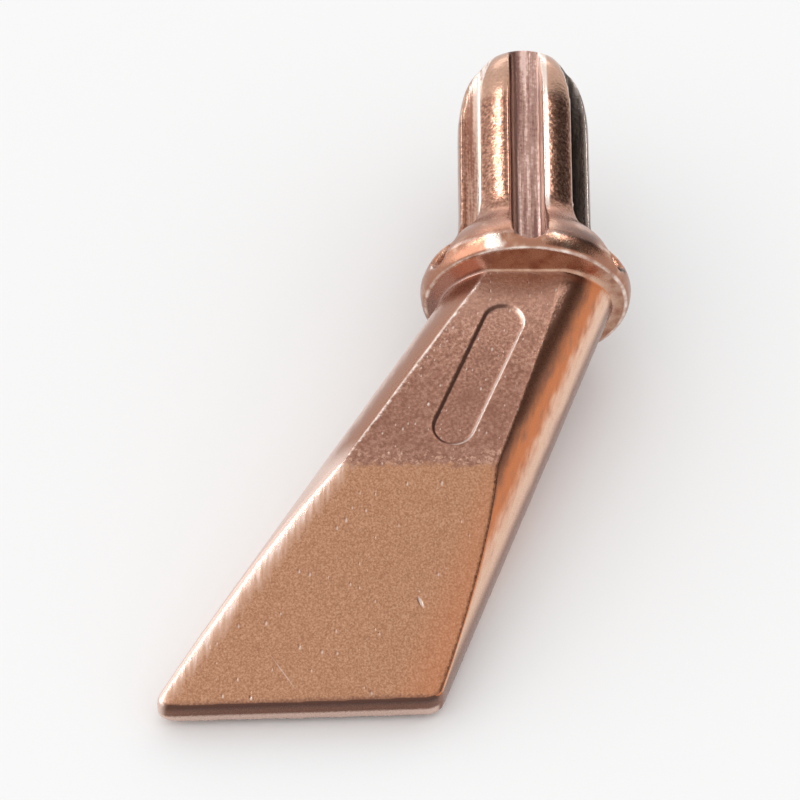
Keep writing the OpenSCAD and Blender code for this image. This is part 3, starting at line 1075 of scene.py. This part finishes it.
class COPPER_OT_forge(bpy.types.Operator):
    """Forge the whole bit in one piece: turn, flute, barrel, dress and round it"""

    bl_idname = "copper.forge"
    bl_label = "Forge the bit"

    def execute(self, context):
        scene = context.scene
        shank, collar = scene.copper_shank, scene.copper_collar
        head, skin = scene.copper_head, scene.copper_skin
        stem = lathe("stem", turned_profile(shank, collar))
        carve(stem, flute_cutters(shank))
        left, right = sides_of(head)
        stock = [left.barrel("long_side"), right.barrel("short_side"), core(head, left, right)]
        for piece in stock:
            file_flat(piece, head_planes(head, left, right))
        forging = joined("forging", [stem, *stock])
        apply_modifier(forging, "REMESH", mode="VOXEL", voxel_size=skin.grid)
        carve(forging, recess_cutter(head))
        self.soften(forging, shank, collar, head, skin, left, right)
        return {"FINISHED"}

    def soften(self, forging, shank, collar, head, skin, left, right):
        """Rounds the edges and inner corners, and gives the forged skin its slow waves and a nick."""
        apply_modifier(forging, "REMESH", mode="VOXEL", voxel_size=skin.grid)
        apply_modifier(forging, "SMOOTH", factor=SMOOTHING, iterations=skin.edge_passes)
        rim_r = collar.diameter / 2 - collar.rim_round
        rib_r = shank.diameter / 2
        nick = on_blade(skin.nick_side, skin.nick_drop)
        nick_along = leaning(skin.nick_lean)
        slope = facet_slope(head)
        facet_at = head.thickness / 2 * cos(slope) + head.facet_start * sin(slope)
        edge_mid, edge_normal = working_edge(head, left, right)
        recess_mid = on_blade(head.recess_side, head.recess_drop)
        recess_along = leaning(head.recess_lean)

        def root(place):
            if place.xy.length > rim_r - skin.root_reach:
                return 0
            return 1 - abs(place.z) / skin.root_reach

        def outer(place, share):
            return (place.xy.length / rib_r - share) / SETTING_IN

        def lobe(place):
            below = (collar.height + collar.blend_h / 2 - place.z) / collar.blend_h
            return min(outer(place, LOBE_FROM), below, place.z / collar.rim_h)

        def rib(place):
            return min(outer(place, RIB_FROM), (place.z - collar.height) / collar.blend_h)

        def crease(side, reaches, reach):
            """Weight beside a facet's crease, which fades over the last of so many reaches."""
            top, bottom = side.facet_crease(head)
            way = across(top, bottom)

            def weight(place):
                from_crease = abs((place - top).dot(way))
                below = -place.z - head.facet_start
                return min(reaches - from_crease / reach, below / reach)

            return weight

        def barrel(place):
            thick = abs(place.y)
            from_facet = facet_at - thick * cos(slope) + place.z * sin(slope)
            from_edge = (edge_mid - place).dot(edge_normal)
            return min(head.thickness / 2 - thick, from_facet, from_edge, -place.z) / MM - 1

        def nicked(place):
            if place.y > 0:
                return 0
            gap = place - nick
            lengthways = gap.dot(nick_along) / (skin.nick_l / 2)
            sideways = gap.dot(square_to(nick_along)) / (skin.nick_w / 2)
            return 1 - lengthways ** 2 - sideways ** 2

        def recessed(place):
            if place.y > 0:
                return 0
            gap = place - recess_mid
            beyond = abs(gap.dot(recess_along)) - (head.recess_l - head.recess_w) / 2
            from_middle = Vector((gap.dot(square_to(recess_along)), max(beyond, 0))).length
            return 1 - abs(from_middle - head.recess_w / 2) / skin.recess_reach

        for name, weight, passes in (
            ("root", root, skin.root_passes),
            ("lobe", lobe, skin.lobe_passes),
            ("rib", rib, skin.rib_passes),
            ("worn", crease(left, 2, head.worn_w), skin.worn_passes),
            ("barrel", barrel, skin.barrel_passes),
            ("short_crease", crease(right, 1, skin.crease_reach), skin.crease_passes),
            ("recessed", recessed, skin.recess_passes),
        ):
            weigh(forging, name, weight)
            apply_modifier(forging, "SMOOTH", factor=SMOOTHING, iterations=passes, vertex_group=name)
        weigh(forging, "forged", lambda place: 1 if place.z > -head.facet_start else DRESSED_WAVES)
        waves = bpy.data.textures.new("die_waves", "CLOUDS")
        waves.noise_scale = skin.wave_l
        apply_modifier(
            forging, "DISPLACE", texture=waves, strength=skin.wave, mid_level=0.5,
            texture_coords="LOCAL", vertex_group="forged",
        )
        weigh(forging, "nick", nicked)
        apply_modifier(forging, "DISPLACE", strength=-skin.nick_depth, mid_level=0, vertex_group="nick")


class COPPER_OT_shank(bpy.types.Operator):
    """Cut the fluted shank from the forging and finish it"""

    bl_idname = "copper.shank"
    bl_label = "Fluted shank"

    def execute(self, context):
        scene = context.scene
        cut_piece(
            "fluted_shank_copper", scene.copper_collar.height, None, stem_copper(scene),
            "fluted_shank",
        )
        return {"FINISHED"}


class COPPER_OT_collar(bpy.types.Operator):
    """Cut the collar, with the rounding under it, from the forging and finish it"""

    bl_idname = "copper.collar"
    bl_label = "Collar"

    def execute(self, context):
        scene = context.scene
        cut_piece(
            "collar_copper", -scene.copper_skin.root_reach, scene.copper_collar.height,
            stem_copper(scene), "collar",
        )
        return {"FINISHED"}


class COPPER_OT_head(bpy.types.Operator):
    """Cut the neck and the blade from the forging and finish them"""

    bl_idname = "copper.head"
    bl_label = "Neck and blade"

    def execute(self, context):
        scene = context.scene
        head = scene.copper_head
        material = head_copper(scene)
        cut_piece(
            "neck_copper", -head.facet_start, -scene.copper_skin.root_reach, material, "neck"
        )
        cut_piece("blade_copper", None, -head.facet_start, material, "blade")
        bpy.data.objects.remove(bpy.data.objects["forging"])
        return {"FINISHED"}


# The stage


def white_world(scene):
    """A room that is full white to the camera and in reflections, and a little dimmer as a light."""
    world = bpy.data.worlds.new("white_room")
    tree = bare_tree(world)
    path = add_node(tree, "ShaderNodeLightPath")
    seen = path.outputs["Is Camera Ray"]
    for ray in ("Is Glossy Ray", "Is Transmission Ray"):
        both = add_node(tree, "ShaderNodeMath", {"operation": "MAXIMUM"})
        feed(tree, both.inputs[0], seen)
        feed(tree, both.inputs[1], path.outputs[ray])
        seen = both.outputs[0]
    level = add_node(tree, "ShaderNodeMapRange", inputs={"Value": seen, "To Min": ROOM_LIGHT, "To Max": 1.0})
    light = add_node(tree, "ShaderNodeBackground", inputs={
        "Color": (1, 1, 1), "Strength": level.outputs["Result"],
    })
    add_node(tree, "ShaderNodeOutputWorld", inputs={"Surface": light.outputs["Background"]})
    scene.world = world


def pale_floor(stage):
    start()
    bpy.ops.mesh.primitive_plane_add(size=stage.floor_size, location=(0, 0, CAD_LOW.z))
    floor = taken("floor")
    apply_place(floor)
    matt = {"Color": (stage.floor_shade,) * 3}
    floor.data.materials.append(plain_material("pale_floor", "ShaderNodeBsdfDiffuse", matt))


class LightPanel:
    """A flat light or card that faces the bit, by its direction and the angles that it fills, in degrees.

    Its azimuth is from +Y towards +X, and its brightness is what a mirror would show of it.
    """

    def __init__(self, name, azimuth, elevation, wide, high, brightness):
        self.name = name
        turn, rise = radians(azimuth), radians(elevation)
        self.way = Vector((sin(turn) * cos(rise), cos(turn) * cos(rise), sin(rise)))
        self.wide = 2 * tan(radians(wide / 2))
        self.high = 2 * tan(radians(high / 2))
        self.brightness = brightness

    def facing(self):
        return self.way.to_track_quat("Z", "Y").to_euler()

    def add_light(self, distance):
        start()
        bpy.ops.object.light_add(type="AREA", location=self.way * distance, rotation=self.facing())
        lamp = bpy.context.object
        lamp.name = self.name
        lamp.data.shape = "RECTANGLE"
        lamp.data.size = self.wide * distance
        lamp.data.size_y = self.high * distance
        lamp.data.energy = self.brightness * pi * lamp.data.size * lamp.data.size_y
        lamp.visible_diffuse = False

    def add_card(self, distance):
        """A grey card that only reflections see, as photographers set beside metal."""
        start()
        bpy.ops.mesh.primitive_plane_add(size=1, location=self.way * distance, rotation=self.facing())
        card = taken(self.name)
        card.scale = (self.wide * distance, self.high * distance, 1)
        apply_place(card)
        glow = {"Color": (1, 1, 1), "Strength": self.brightness}
        card.data.materials.append(plain_material(self.name, "ShaderNodeEmission", glow))
        card.visible_camera = False
        card.visible_diffuse = False
        card.visible_shadow = False


LIGHTS = (
    LightPanel("side_light", -95, 32, 44, 48, 1.7),
    LightPanel("left_strip", -54, 41, 22, 5, 16),
    LightPanel("right_strip", 48, 49, 14, 9, 16),
    LightPanel("low_light", -60, 5, 40, 8, 1.2),
    LightPanel("back_light", 0, 10, 50, 12, 1.3),
)
CARDS = (
    LightPanel("rib_card", 57, 24, 30, 32, 0.1),
    LightPanel("neck_card", 90, 44, 56, 46, 0.12),
    LightPanel("grey_card", -46, 54, 30, 14, 0.45),
)


class COPPER_OT_stage(bpy.types.Operator):
    """Set up the camera, the pale floor and the soft light"""

    bl_idname = "copper.stage"
    bl_label = "Stage"

    def execute(self, context):
        scene = context.scene
        stage = scene.copper_stage
        scene.view_settings.view_transform = "Standard"
        white_world(scene)
        pale_floor(stage)
        for light in LIGHTS:
            light.add_light(stage.light_distance)
        for card in CARDS:
            card.add_card(stage.light_distance)
        up = Vector((0, sin(stage.elevation), cos(stage.elevation)))
        ahead = Vector((0, cos(stage.elevation), -sin(stage.elevation)))
        start()
        bpy.ops.object.camera_add(
            location=Vector((stage.aim_x, 0, 0)) + up * stage.aim_up - ahead * stage.distance,
            rotation=(pi / 2 - stage.elevation, 0, 0),
        )
        camera = bpy.context.object
        camera.name = "camera"
        camera.data.lens = stage.lens
        camera.data.clip_start = CAMERA_NEAR
        scene.camera = camera
        return {"FINISHED"}


class COPPER_PT_panel(bpy.types.Panel):
    """Lists the steps that make the bit"""

    bl_idname = "COPPER_PT_panel"
    bl_label = "Soldering copper"
    bl_space_type = "VIEW_3D"
    bl_region_type = "UI"
    bl_category = "Copper"

    def draw(self, context):
        for step in STEPS:
            self.layout.operator(step.bl_idname)


GROUPS = {
    "copper_shank": ShankSizes,
    "copper_collar": CollarSizes,
    "copper_head": HeadSizes,
    "copper_skin": SkinSizes,
    "copper_tones": CopperTones,
    "copper_stage": StageSizes,
}
STEPS = (COPPER_OT_stage, COPPER_OT_forge, COPPER_OT_shank, COPPER_OT_collar, COPPER_OT_head)


def register():
    for name, group in GROUPS.items():
        bpy.utils.register_class(group)
        setattr(bpy.types.Scene, name, PointerProperty(type=group))
    for step in STEPS:
        bpy.utils.register_class(step)
    bpy.utils.register_class(COPPER_PT_panel)


def unregister():
    bpy.utils.unregister_class(COPPER_PT_panel)
    for step in reversed(STEPS):
        bpy.utils.unregister_class(step)
    for name, group in GROUPS.items():
        delattr(bpy.types.Scene, name)
        bpy.utils.unregister_class(group)


def main():
    register()
    bpy.ops.copper.stage()
    bpy.ops.copper.forge()
    bpy.ops.copper.shank()
    bpy.ops.copper.collar()
    bpy.ops.copper.head()


if __name__ == "__main__":
    main()
